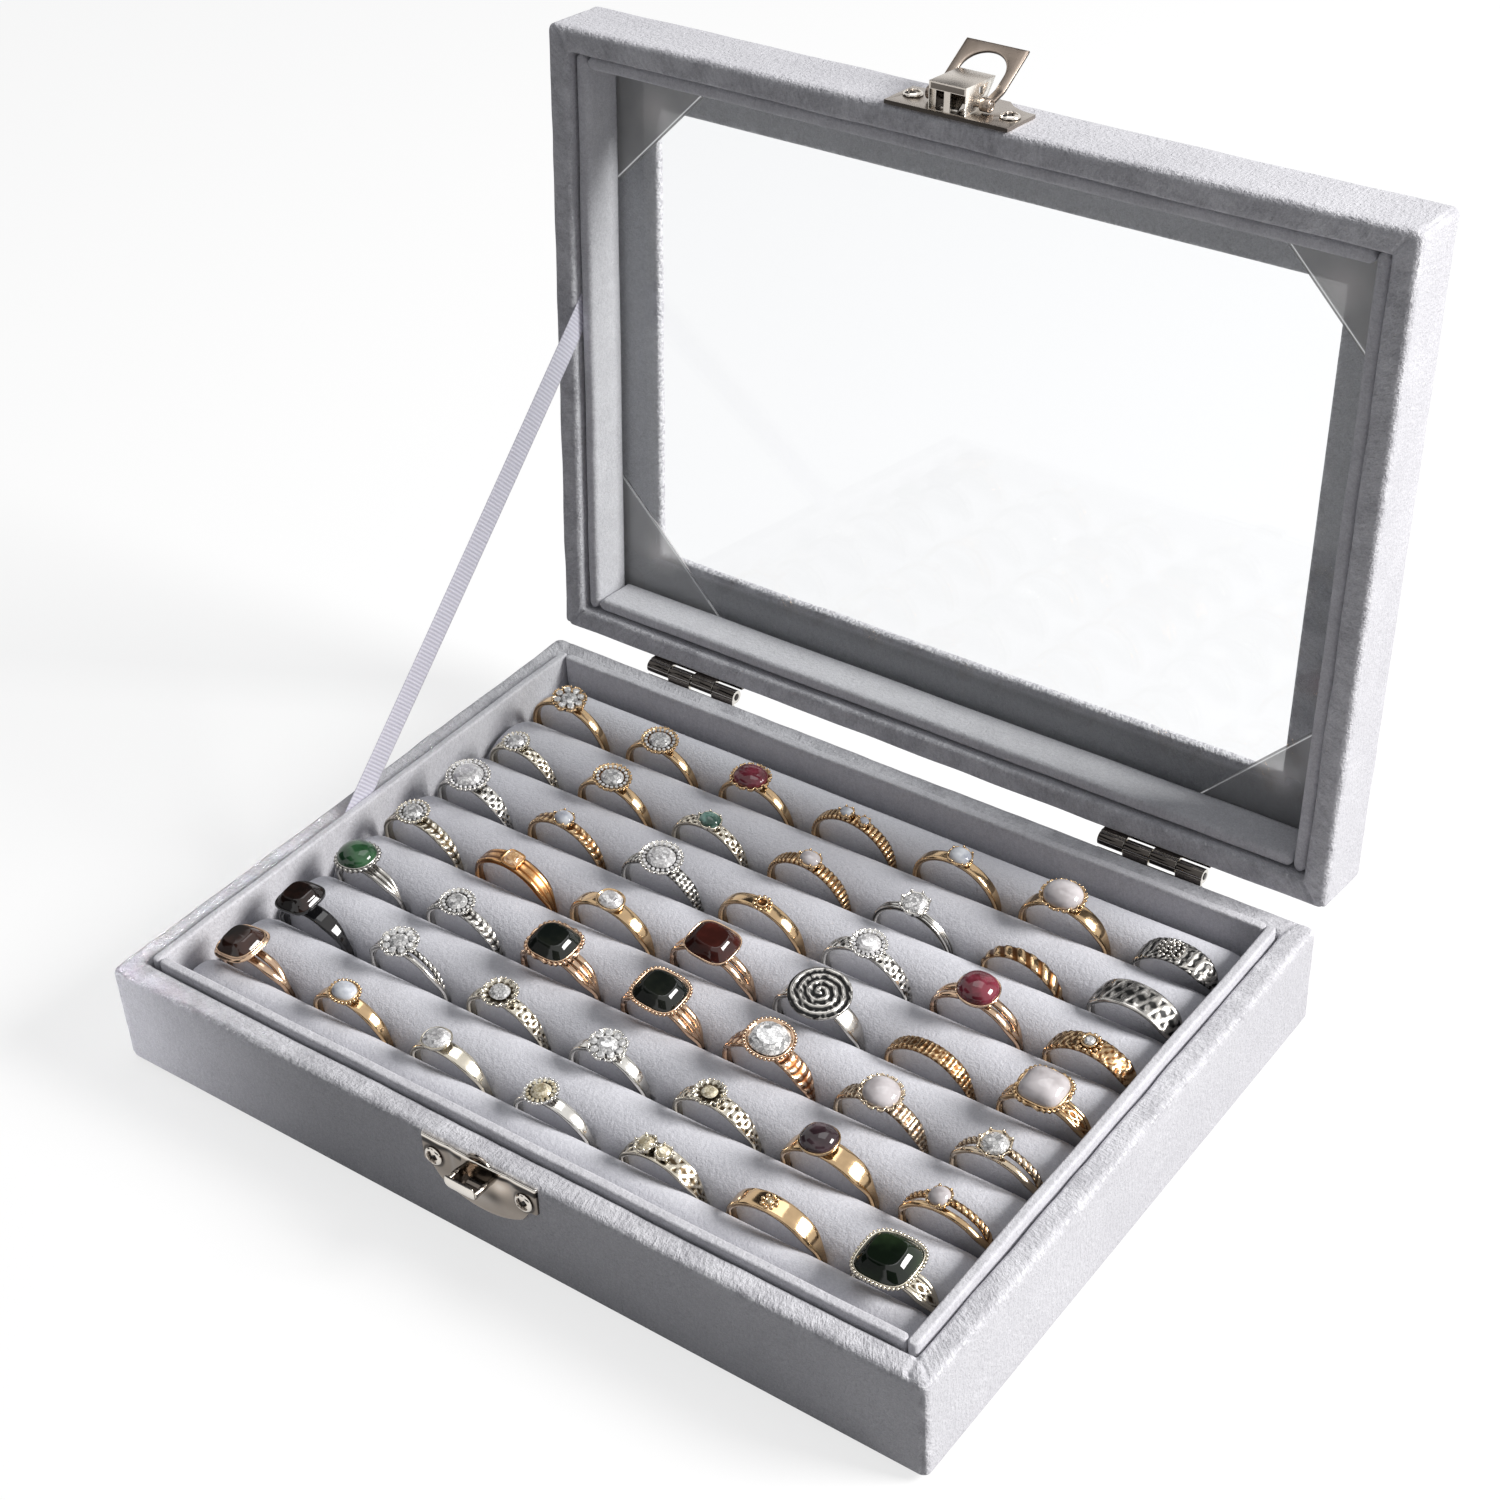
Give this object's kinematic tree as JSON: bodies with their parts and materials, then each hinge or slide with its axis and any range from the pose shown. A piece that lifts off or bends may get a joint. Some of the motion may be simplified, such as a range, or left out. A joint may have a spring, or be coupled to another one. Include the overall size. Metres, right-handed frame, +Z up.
{
  "type": "ring display box",
  "caption": "Velvet-covered ring box with foam rolls that hold rings in slots, a glazed hinged lid on a ribbon stay, and a spring clasp at the front.",
  "frame": {"origin": "centre of the underside, on the surface the box stands on", "axes": "+X right along the front, +Y from the front to the hinges, +Z up"},
  "size_m": [0.2, 0.1876, 0.181],
  "materials": {
    "velvet": "light grey velvet wrapped over board",
    "velvet_card": "light grey velvet wrapped over card",
    "velvet_foam": "light grey velvet over foam",
    "card": "bare grey card",
    "sheet": "thin grey synthetic sheet",
    "patch": "thin grey woven gusset",
    "pane": "clear polished glass",
    "ribbon": "ribbed ribbon, pale lilac grey",
    "nickel": "bright nickel plate",
    "hinge_steel": "dark nickel plate",
    "spring_steel": "bare spring steel",
    "gold": "polished yellow gold plate",
    "rose_gold": "polished rose gold plate",
    "silver": "polished silver plate",
    "oxidised_silver": "darkened silver with bright high spots",
    "black_enamel": "glossy black enamel",
    "clear_stone": "cut clear stone",
    "moonstone": "milky domed stone",
    "dark_stone": "domed stone, near black",
    "red_stone": "domed dark red stone",
    "green_stone": "domed green stone",
    "amber_stone": "small yellow stone"
  },
  "bodies": {
    "base": {"base_shell": "velvet", "bottom_sheet": "sheet", "base_liner_front": "velvet_card", "base_liner_back": "velvet_card", "base_liner_left": "velvet_card", "base_liner_right": "velvet_card", "pad_board": "card", "ring_roll_1": "velvet_foam", "ring_roll_2": "velvet_foam", "ring_roll_3": "velvet_foam", "ring_roll_4": "velvet_foam", "ring_roll_5": "velvet_foam", "ring_roll_6": "velvet_foam", "ring_roll_7": "velvet_foam", "ring_roll_8": "velvet_foam", "catch_plate": "nickel", "catch_screws": "nickel", "hinge_base_leaves": "hinge_steel", "hinge_pins": "hinge_steel", "hinge_base_screws": "hinge_steel", "lid_ribbon": "ribbon", "gold_rings": "gold", "rose_gold_rings": "rose_gold", "silver_rings": "silver", "oxidised_rings": "oxidised_silver", "enamel_ring": "black_enamel", "clear_stones": "clear_stone", "moonstones": "moonstone", "dark_stones": "dark_stone", "red_stones": "red_stone", "green_stones": "green_stone", "amber_stones": "amber_stone"},
    "lid": {"lid_frame": "velvet", "window_glass": "pane", "window_corner_patches": "patch", "lid_liner_front": "velvet_card", "lid_liner_back": "velvet_card", "lid_liner_left": "velvet_card", "lid_liner_right": "velvet_card", "hinge_lid_leaves": "hinge_steel", "hinge_lid_screws": "hinge_steel", "clasp_plate": "nickel", "clasp_spring": "spring_steel", "clasp_pin": "nickel", "clasp_screws": "nickel"},
    "flap": {"clasp_flap": "nickel"}
  },
  "joints": [
    {"name": "lid_hinge", "type": "hinge", "parent": "base", "child": "lid", "pos_m": [0, 0.0748, 0.0255], "axis": [1, 0, 0], "range_deg": [0, 95], "deforming": ["lid_ribbon"]},
    {"name": "flap_pivot", "type": "hinge", "parent": "lid", "child": "flap", "pos_m": [0, 0.09387, 0.17461], "axis": [1, 0, 0], "range_deg": [0, 146]}
  ]
}
